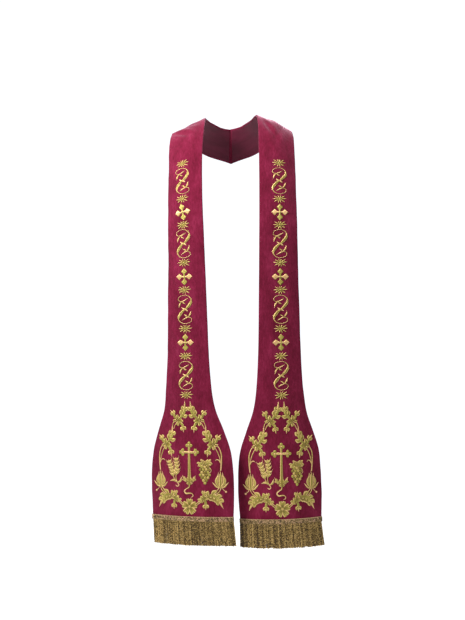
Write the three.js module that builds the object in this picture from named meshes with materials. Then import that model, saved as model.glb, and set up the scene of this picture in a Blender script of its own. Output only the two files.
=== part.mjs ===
// A clerical stole in the shape it keeps when it is worn: two mitred halves joined at the nape, each lying
// over a shoulder, down the chest and hanging free to a bell-shaped end with a headed bullion fringe.
//
// Millimetres, +Z up. The wearer faces -Y, and +X is the wearer's left. The origin is on the middle line of
// the neck, level with the tops of the shoulders.
import * as THREE from "three";

// Driving sizes.
const WALL = 3; // velvet, interlining and lining, sewn as one wall
const GAP = 0.3; // between pieces that touch
const HEADING_DROP = 13; // height of the fringe's woven heading
const HEADING_THICK = 2;
const FRINGE_REACH = 65; // strands below the heading
const FRINGE_THICK = 5.6;
const OVERHANG = 1.2; // the fringe's trimmings reach this far past the cloth at each side

// Facets.
const SECTION_STEP = 22; // longest spacing of cross-sections along a half
const ACROSS = 6; // strips across the cloth

// The cut of one half: its whole width at each height above the hem.
const CUT = [
  { aboveHem: 0, width: 228 },
  { aboveHem: 29, width: 231 },
  { aboveHem: 79, width: 233.5 },
  { aboveHem: 131, width: 230.5 },
  { aboveHem: 184, width: 218 },
  { aboveHem: 237, width: 184 },
  { aboveHem: 289, width: 146 },
  { aboveHem: 342, width: 128.5 },
  { aboveHem: 447, width: 115 },
  { aboveHem: 578, width: 109.5 },
  { aboveHem: 710, width: 105 },
  { aboveHem: 895, width: 101.5 },
  { aboveHem: 1313, width: 96 },
];

// The line down the middle of the worn cloth, from the nape over the shoulder to the hem. `along` is the
// distance from the seam at the nape.
const PROFILE = [
  { along: 0, back: 108, up: -44 }, // nape
  { along: 50, back: 97, up: -28 },
  { along: 101, back: 70, up: -8 },
  { along: 146, back: 34, up: 4 },
  { along: 181, back: 0, up: 4 }, // top of the shoulder
  { along: 210, back: -27, up: -5 },
  { along: 243, back: -52, up: -27 }, // collar bone
  { along: 279, back: -72, up: -57 },
  { along: 317, back: -86, up: -92 },
  { along: 348, back: -95, up: -122 },
  { along: 396, back: -109, up: -168 }, // chest
  { along: 448, back: -122, up: -218 },
  { along: 509, back: -132, up: -278 },
  { along: 581, back: -138, up: -350 },
  { along: 681, back: -141, up: -450 }, // free of the chest
  { along: 846, back: -142, up: -615 },
  { along: 961, back: -143, up: -730 },
  { along: 1061, back: -145, up: -830 },
  { along: 1161, back: -148, up: -930 },
  { along: 1296, back: -151, up: -1065 }, // hem
];

// How each side lies at the same stations: `out` is the middle's distance from the middle line, and `lift` how
// far it lies above the profile. `turn` is how far the outer edge swings back from straight sideways, and `dip`
// how far it drops below level, in degrees. `crown` is how far the middle stands out of the line between the
// edges.
const WEARER_LEFT = [
  { along: 0, out: 0, lift: 0, turn: 90, dip: 63, crown: 0 },
  { along: 50, out: 46, lift: 0, turn: 70, dip: 53, crown: 3 },
  { along: 101, out: 84, lift: 0, turn: 48, dip: 40, crown: 3 },
  { along: 146, out: 108, lift: 2, turn: 22, dip: 31, crown: 1 },
  { along: 181, out: 118, lift: 3.5, turn: 0, dip: 26.5, crown: 1 },
  { along: 210, out: 122, lift: 3, turn: 3, dip: 21, crown: 1 },
  { along: 243, out: 124, lift: 1, turn: 7, dip: 15, crown: 1 },
  { along: 279, out: 125, lift: 0, turn: 9, dip: 9, crown: 3 },
  { along: 317, out: 126, lift: 0, turn: 10, dip: 5, crown: 4 },
  { along: 396, out: 126.8, lift: 0, turn: 10, dip: 1, crown: 4 },
  { along: 581, out: 127.6, lift: 0, turn: 9, dip: 0, crown: 3 },
  { along: 846, out: 130, lift: 0, turn: 7, dip: -0.4, crown: 4 },
  { along: 961, out: 131.2, lift: -1, turn: 6, dip: -0.4, crown: 8 },
  { along: 1061, out: 131.2, lift: -3, turn: 4, dip: -0.5, crown: 18 },
  { along: 1161, out: 132, lift: -5, turn: 3.5, dip: -0.8, crown: 28 },
  { along: 1296, out: 135.5, lift: -7.5, turn: 3, dip: -1.1, crown: 31 },
];
const WEARER_RIGHT = [
  { along: 0, out: 0, lift: 0, turn: 90, dip: 63, crown: 0 },
  { along: 50, out: 46, lift: -3, turn: 70, dip: 53, crown: 3 },
  { along: 101, out: 84, lift: -6, turn: 48, dip: 40, crown: 3 },
  { along: 146, out: 106, lift: -8, turn: 24, dip: 31, crown: 0 },
  { along: 181, out: 113.5, lift: -8, turn: 2, dip: 26.5, crown: -3 },
  { along: 210, out: 116.5, lift: -8, turn: 8, dip: 21, crown: -1 },
  { along: 243, out: 119.5, lift: -7, turn: 14, dip: 15, crown: 2 },
  { along: 279, out: 122, lift: -5, turn: 19, dip: 9, crown: 4 },
  { along: 317, out: 123.4, lift: -3, turn: 22, dip: 5, crown: 5 },
  { along: 396, out: 123.8, lift: 0, turn: 23.5, dip: 1.5, crown: 5 },
  { along: 509, out: 120.8, lift: 0, turn: 22, dip: 1.5, crown: 4 },
  { along: 681, out: 116, lift: 0, turn: 18.5, dip: 1.5, crown: 3 },
  { along: 846, out: 113.2, lift: 0, turn: 16, dip: 1.5, crown: 3 },
  { along: 961, out: 111.4, lift: 0, turn: 16, dip: 1.5, crown: 6 },
  { along: 1061, out: 107.6, lift: 0, turn: 16, dip: 1.5, crown: 12 },
  { along: 1161, out: 106, lift: 0, turn: 16, dip: 1.2, crown: 19 },
  { along: 1296, out: 104.6, lift: 0, turn: 16, dip: 0.8, crown: 20 },
];

// How far the fringe's lower corners swing sideways from the hem's, towards +X, on its two ends.
const FRINGE_SWING = {
  left: { inner: 1, outer: 9 },
  right: { inner: 8, outer: 3 },
};

const SIDES = {
  left: { table: WEARER_LEFT, hand: 1 },
  right: { table: WEARER_RIGHT, hand: -1 },
};

const radians = THREE.MathUtils.degToRad;
const HEM_AT = PROFILE[PROFILE.length - 1].along;

// A smooth curve through one column of a table, at any value of its key column.
function smooth(rows, key, column, at) {
  let k = 0;
  while (k < rows.length - 2 && at > rows[k + 1][key]) k += 1;
  const slope = (i) => {
    const before = rows[Math.max(i - 1, 0)];
    const after = rows[Math.min(i + 1, rows.length - 1)];
    return (after[column] - before[column]) / (after[key] - before[key]);
  };
  const span = rows[k + 1][key] - rows[k][key];
  const t = (at - rows[k][key]) / span;
  const rise = rows[k + 1][column] - rows[k][column];
  return (
    rows[k][column] +
    rise * t * t * (3 - 2 * t) +
    span * t * (1 - t) * ((1 - t) * slope(k) - t * slope(k + 1))
  );
}

// The middle of the cloth's outer face at a distance along one side.
function middle(side, along) {
  return new THREE.Vector3(
    side.hand * (GAP / 2 + smooth(side.table, "along", "out", along)),
    smooth(PROFILE, "along", "back", along),
    smooth(PROFILE, "along", "up", along) + smooth(side.table, "along", "lift", along),
  );
}

// A point of the cloth's outer face. `share` runs from -1 on the inner edge to 1 on the outer edge.
function facePoint(side, along, share, past = 0) {
  const step = 0.5;
  const from = middle(side, Math.max(along - step, 0));
  const tangent = middle(side, Math.min(along + step, HEM_AT)).sub(from).normalize();
  const turn = radians(smooth(side.table, "along", "turn", along));
  const dip = radians(smooth(side.table, "along", "dip", along));
  const outward = new THREE.Vector3(
    side.hand * Math.cos(dip) * Math.cos(turn),
    Math.cos(dip) * Math.sin(turn),
    -Math.sin(dip),
  );
  const away = new THREE.Vector3().crossVectors(tangent, outward).multiplyScalar(side.hand);
  const square = away.length();
  away.divideScalar(square);
  const width = smooth(CUT, "aboveHem", "width", HEM_AT - along);
  const crown = smooth(side.table, "along", "crown", along);
  const chord = (width - (8 / 3) * crown * crown / width) / square;
  const sideways = (share * chord) / 2 + Math.sign(share) * past;
  return middle(side, along)
    .addScaledVector(outward, sideways)
    .addScaledVector(away, -crown * share * share);
}

// The cloth's outward direction at a point of its face. At the seam it stays in the seam's plane.
function faceNormal(side, along, share) {
  const step = 1;
  const a0 = Math.max(along - step, 0);
  const a1 = Math.min(along + step, HEM_AT);
  const down = facePoint(side, a1, share).sub(facePoint(side, a0, share));
  const outward = facePoint(side, along, Math.min(share + 0.05, 1)).sub(
    facePoint(side, along, Math.max(share - 0.05, -1)),
  );
  const normal = new THREE.Vector3().crossVectors(down, outward).multiplyScalar(side.hand);
  if (along === 0) normal.x = 0;
  return normal.normalize();
}

// A closed solid between two matching grids of points, the outer one facing out.
function solidBetween(outer, inner, hand) {
  const rows = outer.length;
  const columns = outer[0].length;
  const points = [...outer.flat(), ...inner.flat()];
  const front = (i, j) => i * columns + j;
  const rear = (i, j) => rows * columns + i * columns + j;
  const faces = [];
  const quad = (a, b, c, d) => faces.push([a, b, c], [a, c, d]);
  for (let i = 0; i < rows - 1; i += 1) {
    for (let j = 0; j < columns - 1; j += 1) {
      quad(front(i, j), front(i + 1, j), front(i + 1, j + 1), front(i, j + 1));
      quad(rear(i, j), rear(i, j + 1), rear(i + 1, j + 1), rear(i + 1, j));
    }
    const last = columns - 1;
    quad(front(i, 0), rear(i, 0), rear(i + 1, 0), front(i + 1, 0));
    quad(front(i, last), front(i + 1, last), rear(i + 1, last), rear(i, last));
  }
  for (let j = 0; j < columns - 1; j += 1) {
    const last = rows - 1;
    quad(front(0, j), front(0, j + 1), rear(0, j + 1), rear(0, j));
    quad(front(last, j), rear(last, j), rear(last, j + 1), front(last, j + 1));
  }
  const order = hand > 0 ? faces : faces.map(([a, b, c]) => [a, c, b]);
  const geometry = new THREE.BufferGeometry();
  geometry.setAttribute(
    "position",
    new THREE.Float32BufferAttribute(points.flatMap((p) => p.toArray()), 3),
  );
  geometry.setIndex(order.flat());
  geometry.computeVertexNormals();
  return geometry;
}

const shares = Array.from({ length: ACROSS + 1 }, (_, j) => (2 * j) / ACROSS - 1);

// Distances along the cloth between two stations, no further apart than SECTION_STEP.
function stations(from, to) {
  const count = Math.ceil((to - from) / SECTION_STEP);
  return Array.from({ length: count + 1 }, (_, i) => from + ((to - from) * i) / count);
}

// One half of the stole: velvet face, interlining and lining as one wall.
function half(side) {
  const outer = [];
  const inner = [];
  for (const along of stations(0, HEM_AT)) {
    const row = shares.map((share) => facePoint(side, along, share));
    outer.push(row);
    inner.push(
      row.map((p, j) => p.clone().addScaledVector(faceNormal(side, along, shares[j]), -WALL)),
    );
  }
  return solidBetween(outer, inner, side.hand);
}

// The woven heading of the fringe, sewn on the face along the hem.
function heading(side) {
  const outer = [];
  const inner = [];
  for (const along of [HEM_AT - HEADING_DROP, HEM_AT]) {
    const row = shares.map((share) => facePoint(side, along, share, OVERHANG));
    const moved = (distance) =>
      row.map((p, j) => p.clone().addScaledVector(faceNormal(side, along, shares[j]), distance));
    outer.push(moved(GAP + HEADING_THICK));
    inner.push(moved(GAP));
  }
  return solidBetween(outer, inner, side.hand);
}

// The reach of the fringe's strands: a curtain that hangs from just under the hem.
function fringe(side, swing) {
  const outer = [];
  const inner = [];
  for (const drop of [GAP, FRINGE_REACH / 2, FRINGE_REACH]) {
    const place = shares.map((share) => {
      const sway = THREE.MathUtils.lerp(swing.inner, swing.outer, (share + 1) / 2);
      const hung = new THREE.Vector3((sway * drop) / FRINGE_REACH, 0, -drop);
      return facePoint(side, HEM_AT, share, OVERHANG).add(hung);
    });
    const level = (j) => faceNormal(side, HEM_AT, shares[j]).setZ(0).normalize();
    outer.push(place.map((p, j) => p.clone().addScaledVector(level(j), HEADING_THICK)));
    inner.push(
      place.map((p, j) => p.clone().addScaledVector(level(j), HEADING_THICK - FRINGE_THICK)),
    );
  }
  return solidBetween(outer, inner, side.hand);
}

const velvet = () =>
  new THREE.MeshStandardMaterial({ color: "#7d1f3c", roughness: 0.85, metalness: 0 });
const braid = () =>
  new THREE.MeshStandardMaterial({ color: "#9a7440", roughness: 0.5, metalness: 0.3 });
const bullion = () =>
  new THREE.MeshStandardMaterial({ color: "#86683a", roughness: 0.45, metalness: 0.3 });

const stole = new THREE.Group();

function add(name, geometry, material) {
  const mesh = new THREE.Mesh(geometry, material);
  mesh.name = name;
  stole.add(mesh);
}

for (const [name, side] of Object.entries(SIDES)) {
  add(`half_${name}`, half(side), velvet());
  add(`fringe_heading_${name}`, heading(side), braid());
  add(`fringe_${name}`, fringe(side, FRINGE_SWING[name]), bullion());
}

export default stole;
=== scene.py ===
"""A wine-red velvet stole as it is worn, with gold embroidery and bullion fringe.

Lengths are millimetres, as in the part's source, until a mesh is made: MM turns them into metres. The wearer
faces -Y, +X is the wearer's left, and Z is up. Each half of the stole is described by its flat cut: `along`
runs from the seam at the nape to the hem, and `across` from the inner edge (-) to the outer edge (+).
"""
import math

import bmesh
import bpy
import numpy as np
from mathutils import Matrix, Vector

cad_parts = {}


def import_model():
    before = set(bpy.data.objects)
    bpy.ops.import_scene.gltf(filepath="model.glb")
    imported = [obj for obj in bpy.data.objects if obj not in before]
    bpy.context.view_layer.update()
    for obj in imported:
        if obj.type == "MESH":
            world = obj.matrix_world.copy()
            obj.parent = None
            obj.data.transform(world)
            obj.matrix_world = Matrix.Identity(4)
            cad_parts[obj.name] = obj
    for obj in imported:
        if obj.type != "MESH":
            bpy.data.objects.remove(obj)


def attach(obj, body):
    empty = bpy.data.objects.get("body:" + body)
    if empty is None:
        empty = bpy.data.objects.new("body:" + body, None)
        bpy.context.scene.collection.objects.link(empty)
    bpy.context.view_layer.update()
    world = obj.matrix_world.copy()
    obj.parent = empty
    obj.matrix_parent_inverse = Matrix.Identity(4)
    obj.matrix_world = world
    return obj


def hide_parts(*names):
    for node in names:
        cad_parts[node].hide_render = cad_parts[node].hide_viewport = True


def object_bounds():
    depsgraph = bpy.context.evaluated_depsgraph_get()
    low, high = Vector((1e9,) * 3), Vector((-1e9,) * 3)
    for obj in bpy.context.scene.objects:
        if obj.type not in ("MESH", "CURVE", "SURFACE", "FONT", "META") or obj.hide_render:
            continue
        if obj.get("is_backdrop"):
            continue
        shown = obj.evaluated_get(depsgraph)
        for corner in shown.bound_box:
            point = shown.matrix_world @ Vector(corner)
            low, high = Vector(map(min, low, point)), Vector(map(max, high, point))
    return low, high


MM = 0.001
WALL = 3.0  # velvet, interlining and lining together
GAP = 0.3  # between pieces that touch
HEADING_DROP = 13.0
HEADING_THICK = 2.0
FRINGE_REACH = 65.0
FRINGE_THICK = 5.6
OVERHANG = 1.2


# --------------------------------------------------------------------------------------------------------
# The worn cloth: the same cut and hang as the CAD solids
# --------------------------------------------------------------------------------------------------------


def table(names, *rows):
    """Rows of numbers under named columns, as one array for each column."""
    return dict(zip(names.split(), np.array(rows, float).T))


CUT = table(
    "above_hem width",
    (0, 228),
    (29, 231),
    (79, 233.5),
    (131, 230.5),
    (184, 218),
    (237, 184),
    (289, 146),
    (342, 128.5),
    (447, 115),
    (578, 109.5),
    (710, 105),
    (895, 101.5),
    (1313, 96),
)

PROFILE = table(
    "along back up",
    (0, 108, -44),
    (50, 97, -28),
    (101, 70, -8),
    (146, 34, 4),
    (181, 0, 4),
    (210, -27, -5),
    (243, -52, -27),
    (279, -72, -57),
    (317, -86, -92),
    (348, -95, -122),
    (396, -109, -168),
    (448, -122, -218),
    (509, -132, -278),
    (581, -138, -350),
    (681, -141, -450),
    (846, -142, -615),
    (961, -143, -730),
    (1061, -145, -830),
    (1161, -148, -930),
    (1296, -151, -1065),
)
WEARER_LEFT = table(
    "along out lift turn dip crown",
    (0, 0, 0, 90, 63, 0),
    (50, 46, 0, 70, 53, 3),
    (101, 84, 0, 48, 40, 3),
    (146, 108, 2, 22, 31, 1),
    (181, 118, 3.5, 0, 26.5, 1),
    (210, 122, 3, 3, 21, 1),
    (243, 124, 1, 7, 15, 1),
    (279, 125, 0, 9, 9, 3),
    (317, 126, 0, 10, 5, 4),
    (396, 126.8, 0, 10, 1, 4),
    (581, 127.6, 0, 9, 0, 3),
    (846, 130, 0, 7, -0.4, 4),
    (961, 131.2, -1, 6, -0.4, 8),
    (1061, 131.2, -3, 4, -0.5, 18),
    (1161, 132, -5, 3.5, -0.8, 28),
    (1296, 135.5, -7.5, 3, -1.1, 31),
)
WEARER_RIGHT = table(
    "along out lift turn dip crown",
    (0, 0, 0, 90, 63, 0),
    (50, 46, -3, 70, 53, 3),
    (101, 84, -6, 48, 40, 3),
    (146, 106, -8, 24, 31, 0),
    (181, 113.5, -8, 2, 26.5, -3),
    (210, 116.5, -8, 8, 21, -1),
    (243, 119.5, -7, 14, 15, 2),
    (279, 122, -5, 19, 9, 4),
    (317, 123.4, -3, 22, 5, 5),
    (396, 123.8, 0, 23.5, 1.5, 5),
    (509, 120.8, 0, 22, 1.5, 4),
    (681, 116, 0, 18.5, 1.5, 3),
    (846, 113.2, 0, 16, 1.5, 3),
    (961, 111.4, 0, 16, 1.5, 6),
    (1061, 107.6, 0, 16, 1.5, 12),
    (1161, 106, 0, 16, 1.2, 19),
    (1296, 104.6, 0, 16, 0.8, 20),
)
HEM = PROFILE["along"][-1]
PANEL_FOOT = HEM - HEADING_DROP  # where the velvet's face meets the heading

# Soft folds pressed or hung into each half. `slant` turns a fold's length from straight down the cloth
# towards its outer edge, in degrees; a positive height stands out of the face.
FOLD_COLUMNS = "along across slant length width height"
FOLDS_LEFT = table(
    FOLD_COLUMNS,
    (176, -28, 40, 26, 7, -4.0),
    (186, -2, 20, 34, 9, 2.6),
    (212, 14, -20, 30, 8, 1.6),
    (230, -2, -14, 40, 9, 2.0),
    (238, -20, 28, 36, 7, -2.4),
    (262, 12, -8, 50, 9, 1.3),
    (300, -24, 18, 60, 10, -1.0),
    (690, 34, 6, 150, 12, 0.9),
    (800, -34, -5, 120, 12, -0.8),
    (1010, 60, -16, 90, 14, 1.2),
    (1120, -72, 10, 110, 16, -1.2),
)
FOLDS_RIGHT = table(
    FOLD_COLUMNS,
    (176, 4, -62, 44, 8, 2.4),
    (196, -6, -60, 40, 6, -1.4),
    (222, 6, -52, 50, 7, 3.2),
    (236, 16, -50, 44, 6, -2.2),
    (258, 30, -44, 34, 7, 1.8),
    (262, -22, -56, 30, 7, 1.5),
    (380, -34, 10, 60, 9, -1.1),
    (610, 30, -32, 44, 6, 1.0),
    (632, 32, -34, 44, 6, 1.1),
    (664, 28, -36, 40, 7, 1.0),
    (812, 30, -30, 40, 7, 1.1),
    (842, 28, -32, 40, 6, 1.0),
    (1000, -60, 14, 90, 14, 1.2),
    (1130, 70, -10, 110, 16, 1.2),
)

LEFT = {"name": "left", "hand": 1, "hang": WEARER_LEFT, "folds": FOLDS_LEFT, "seed": 3}
RIGHT = {"name": "right", "hand": -1, "hang": WEARER_RIGHT, "folds": FOLDS_RIGHT, "seed": 8}


def smooth(rows, key, column, at):
    """A smooth curve through one column of a table, at any values of its key column."""
    x, y = rows[key], rows[column]
    last = len(x) - 1
    k = np.clip(np.searchsorted(x, at) - 1, 0, last - 1)
    before = np.maximum(np.arange(last + 1) - 1, 0)
    after = np.minimum(np.arange(last + 1) + 1, last)
    slope = (y[after] - y[before]) / (x[after] - x[before])
    span = x[k + 1] - x[k]
    t = (at - x[k]) / span
    rise = y[k + 1] - y[k]
    bend = (1 - t) * slope[k] - t * slope[k + 1]
    return y[k] + rise * t * t * (3 - 2 * t) + span * t * (1 - t) * bend


def width_at(along):
    """The cut's whole width at a distance from the nape."""
    return smooth(CUT, "above_hem", "width", HEM - along)


def unit(vectors):
    return vectors / np.linalg.norm(vectors, axis=-1, keepdims=True)


def middle(side, along):
    """The middle of the face at distances along one half."""
    hang = side["hang"]
    return np.stack(
        [
            side["hand"] * (GAP / 2 + smooth(hang, "along", "out", along)),
            smooth(PROFILE, "along", "back", along),
            smooth(PROFILE, "along", "up", along) + smooth(hang, "along", "lift", along),
        ],
        axis=-1,
    )


def face(side, along, share, past=0.0):
    """Points of the face; share runs from -1 on the inner edge to 1 on the outer edge."""
    step = 0.5
    hang = side["hang"]
    tangent = unit(
        middle(side, np.minimum(along + step, HEM)) - middle(side, np.maximum(along - step, 0))
    )
    turn = np.radians(smooth(hang, "along", "turn", along))
    dip = np.radians(smooth(hang, "along", "dip", along))
    outward = np.stack(
        [
            side["hand"] * np.cos(dip) * np.cos(turn),
            np.cos(dip) * np.sin(turn),
            -np.sin(dip),
        ],
        axis=-1,
    )
    away = side["hand"] * np.cross(tangent, outward)
    square = np.linalg.norm(away, axis=-1)
    away = away / square[..., None]
    width = width_at(along)
    crown = smooth(hang, "along", "crown", along)
    chord = (width - (8 / 3) * crown * crown / width) / square
    sideways = share * chord / 2 + np.sign(share) * past
    return middle(side, along) + outward * sideways[..., None] - away * (crown * share * share)[..., None]


def face_normal(side, along, share):
    """The way the face looks at its points. At the nape it stays in the seam's plane."""
    down = face(side, np.minimum(along + 1, HEM), share) - face(side, np.maximum(along - 1, 0), share)
    outward = face(side, along, np.minimum(share + 0.05, 1)) - face(
        side, along, np.maximum(share - 0.05, -1)
    )
    normal = side["hand"] * np.cross(down, outward)
    normal[..., 0] = np.where(along == 0, 0, normal[..., 0])
    return unit(normal)


def fade(value, start, end):
    """0 before start, 1 after end, and smooth between."""
    t = np.clip((value - start) / (end - start), 0, 1)
    return t * t * (3 - 2 * t)


BAND_ROLL = 3.0  # the narrow part rounds over a little more than the CAD wall


def swell(side, along, share):
    """How far folds and slight unevenness lift the face, in millimetres."""
    across = share * width_at(along) / 2
    narrow = fade(along, 60, 240) * (1 - fade(along, 850, 1050))
    lift = (BAND_ROLL / 2 - BAND_ROLL * share**2) * narrow
    rows = side["folds"]
    for k in range(len(rows["along"])):
        slant = math.radians(rows["slant"][k])
        down = along - rows["along"][k]
        out = across - rows["across"][k]
        lengthwise = (down * math.cos(slant) + out * math.sin(slant)) / rows["length"][k]
        sideways = (out * math.cos(slant) - down * math.sin(slant)) / rows["width"][k]
        ridge = np.exp(-(sideways**2)) - 0.35 * np.exp(-((sideways - 1.8) ** 2))
        lift += rows["height"][k] * ridge * np.exp(-(lengthwise**2) * 2)
    draw = np.random.default_rng(side["seed"])
    for wave_length, height in ((210, 0.7), (120, 0.45), (64, 0.28), (38, 0.16)):
        angle, phase, edge = draw.uniform(-0.7, 0.7), draw.uniform(0, 6.28), draw.uniform(0.3, 1)
        travel = along * math.cos(angle) + across * math.sin(angle)
        lift += height * np.sin(2 * math.pi * travel / wave_length + phase) * (edge + (1 - edge) * share**2)
    return lift * fade(along, 0, 60)


def on_cloth(side, along, across, lift):
    """Points at a height above the worn face, from their place on the flat cut."""
    along, across, lift = np.broadcast_arrays(
        np.asarray(along, float), np.asarray(across, float), np.asarray(lift, float)
    )
    share = across / (width_at(along) / 2)
    height = lift + swell(side, along, share)
    return face(side, along, share) + face_normal(side, along, np.clip(share, -1, 1)) * height[..., None]


# --------------------------------------------------------------------------------------------------------
# Meshes
# --------------------------------------------------------------------------------------------------------


class Build:
    """Gathers grids of points into one mesh, with a UV map in millimetres and a tone for each point."""

    def __init__(self):
        self.points, self.quads, self.uvs, self.tones, self.slots = [], [], [], [], []
        self.count = 0

    def grid(self, points, uv, tone=0.5, around=False, slot=0):
        """points is rows x columns x 3; around joins the last column to the first."""
        rows, columns = points.shape[:2]
        index = self.count + np.arange(rows * columns).reshape(rows, columns)
        right = np.roll(index, -1, axis=1) if around else index[:, 1:]
        left = index if around else index[:, :-1]
        quads = np.stack([left[:-1], left[1:], right[1:], right[:-1]], axis=-1).reshape(-1, 4)
        self.points.append(points.reshape(-1, 3))
        self.uvs.append(np.broadcast_to(uv, (rows, columns, 2)).reshape(-1, 2))
        self.tones.append(np.broadcast_to(tone, (rows, columns)).ravel())
        self.quads.append(quads)
        self.slots.append(np.broadcast_to(slot, (rows - 1, quads.shape[0] // (rows - 1))).ravel())
        self.count += rows * columns

    def merged(self):
        return (
            np.concatenate(self.points),
            np.concatenate(self.quads),
            np.concatenate(self.uvs),
            np.concatenate(self.tones),
            np.concatenate(self.slots),
        )

    def make(self, name, materials, flip=False, weld=0.0):
        """The Blender object, in metres."""
        points, quads, uvs, tones, slots = self.merged()
        if flip:
            quads = quads[:, ::-1]
        mesh = bpy.data.meshes.new(name)
        mesh.vertices.add(len(points))
        mesh.vertices.foreach_set("co", (points * MM).ravel())
        mesh.loops.add(quads.size)
        mesh.loops.foreach_set("vertex_index", quads.ravel())
        mesh.polygons.add(len(quads))
        mesh.polygons.foreach_set("loop_start", np.arange(0, quads.size, 4))
        mesh.polygons.foreach_set("use_smooth", np.ones(len(quads), bool))
        mesh.polygons.foreach_set("material_index", slots.astype(np.int32))
        uv_map = mesh.uv_layers.new(name="flat")
        uv_map.data.foreach_set("uv", uvs[quads.ravel()].ravel())
        tone = mesh.attributes.new("tone", "FLOAT", "POINT")
        tone.data.foreach_set("value", tones)
        for material in materials:
            mesh.materials.append(material)
        mesh.update(calc_edges=True)
        obj = bpy.data.objects.new(name, mesh)
        bpy.context.scene.collection.objects.link(obj)
        if weld:
            weld_points(mesh, weld)
        return obj


def weld_points(mesh, distance):
    work = bmesh.new()
    work.from_mesh(mesh)
    bmesh.ops.remove_doubles(work, verts=work.verts, dist=distance)
    work.to_mesh(mesh)
    work.free()


# --------------------------------------------------------------------------------------------------------
# Materials
# --------------------------------------------------------------------------------------------------------


class Nodes:
    """A material under construction, with short ways to add its nodes."""

    def __init__(self, name):
        self.material = bpy.data.materials.new(name)
        self.material.use_nodes = True
        self.tree = self.material.node_tree
        self.shader = self.tree.nodes["Principled BSDF"]

    def add(self, kind, inputs=(), **settings):
        node = self.tree.nodes.new(kind)
        for key, value in settings.items():
            setattr(node, key, value)
        for key, value in dict(inputs).items():
            if isinstance(value, bpy.types.NodeSocket):
                self.tree.links.new(value, node.inputs[key])
            else:
                node.inputs[key].default_value = value
        return node

    def set(self, **values):
        for key, value in values.items():
            socket = self.shader.inputs[key.replace("_", " ")]
            if isinstance(value, bpy.types.NodeSocket):
                self.tree.links.new(value, socket)
            else:
                socket.default_value = value

    def flat(self, scale=(1, 1, 1)):
        """The flat cut's coordinates in millimetres, scaled."""
        uv = self.add("ShaderNodeUVMap", uv_map="flat")
        return self.add("ShaderNodeMapping", {"Vector": uv.outputs[0], "Scale": scale}).outputs[0]

    def noise(self, vector, scale, detail=3.0, roughness=0.5):
        return self.add(
            "ShaderNodeTexNoise",
            {"Vector": vector, "Scale": scale, "Detail": detail, "Roughness": roughness},
        ).outputs["Fac"]

    def ramp(self, factor, *stops):
        node = self.add("ShaderNodeValToRGB", {"Fac": factor})
        elements = node.color_ramp.elements
        while len(elements) < len(stops):
            elements.new(0.5)
        for element, (place, colour) in zip(elements, stops):
            element.position = place
            element.color = (*colour, 1)
        return node.outputs["Color"]

    def mix(self, factor, a, b, blend="MIX"):
        node = self.add("ShaderNodeMix", data_type="RGBA", blend_type=blend)
        for key, value in (("Factor", factor), ("A", a), ("B", b)):
            sockets = [s for s in node.inputs if s.name == key and s.enabled]
            if isinstance(value, bpy.types.NodeSocket):
                self.tree.links.new(value, sockets[0])
            else:
                sockets[0].default_value = (*value, 1) if isinstance(value, tuple) else value
        return [s for s in node.outputs if s.enabled][0]

    def math(self, operation, a, b=0.0, clamp=False):
        node = self.add("ShaderNodeMath", operation=operation, use_clamp=clamp)
        for socket, value in zip(node.inputs, (a, b)):
            if isinstance(value, bpy.types.NodeSocket):
                self.tree.links.new(value, socket)
            else:
                socket.default_value = value
        return node.outputs[0]

    def bump(self, height, distance, strength=1.0, normal=None):
        inputs = {"Height": height, "Distance": distance, "Strength": strength}
        if normal is not None:
            inputs["Normal"] = normal
        return self.add("ShaderNodeBump", inputs).outputs[0]


def velvet_material():
    """Cut pile: dark where it is looked into, paler and pinker where it leans or turns away."""
    n = Nodes("wine_velvet")
    patches = n.noise(n.flat((0.5, 0.22, 1)), 0.05, 4, 0.55)
    brushed = n.noise(n.flat((1.0, 0.35, 1)), 0.22, 3, 0.6)
    pile = n.noise(n.flat(), 1.3, 2, 0.7)
    nap = n.math("ADD", n.math("MULTIPLY", patches, 0.6), n.math("MULTIPLY", brushed, 0.4))
    dark, plain, light = (0.098, 0.0040, 0.016), (0.142, 0.0068, 0.027), (0.205, 0.015, 0.048)
    base = n.ramp(nap, (0.36, dark), (0.5, plain), (0.66, light))
    speckle = n.ramp(pile, (0.3, (0.72, 0.68, 0.7)), (0.7, (1.22, 1.18, 1.2)))
    crush = n.bump(brushed, 0.0009, 0.55)
    n.set(Base_Color=n.mix(1.0, base, speckle, "MULTIPLY"), Roughness=0.9, Normal=n.bump(pile, 0.0004, 0.6, crush))
    n.set(Sheen_Weight=1.0, Sheen_Roughness=0.38, Sheen_Tint=(0.9, 0.5, 0.63, 1))
    n.set(Specular_IOR_Level=0.05)
    return n.material


def lining_material():
    """Wine satin with a fine twill and a soft shine."""
    n = Nodes("wine_satin")
    rub = n.noise(n.flat((0.6, 0.15, 1)), 0.08, 3)
    base = n.ramp(rub, (0.3, (0.080, 0.006, 0.019)), (0.7, (0.128, 0.011, 0.033)))
    wave = {"Vector": n.flat(), "Scale": 0.55, "Distortion": 0.4}
    weave = n.add("ShaderNodeTexWave", wave, bands_direction="DIAGONAL")
    n.set(Base_Color=base, Roughness=0.45, Normal=n.bump(weave.outputs["Fac"], 0.0001, 0.35))
    n.set(Sheen_Weight=0.1, Sheen_Roughness=0.3, Specular_IOR_Level=0.2)
    return n.material


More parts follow.
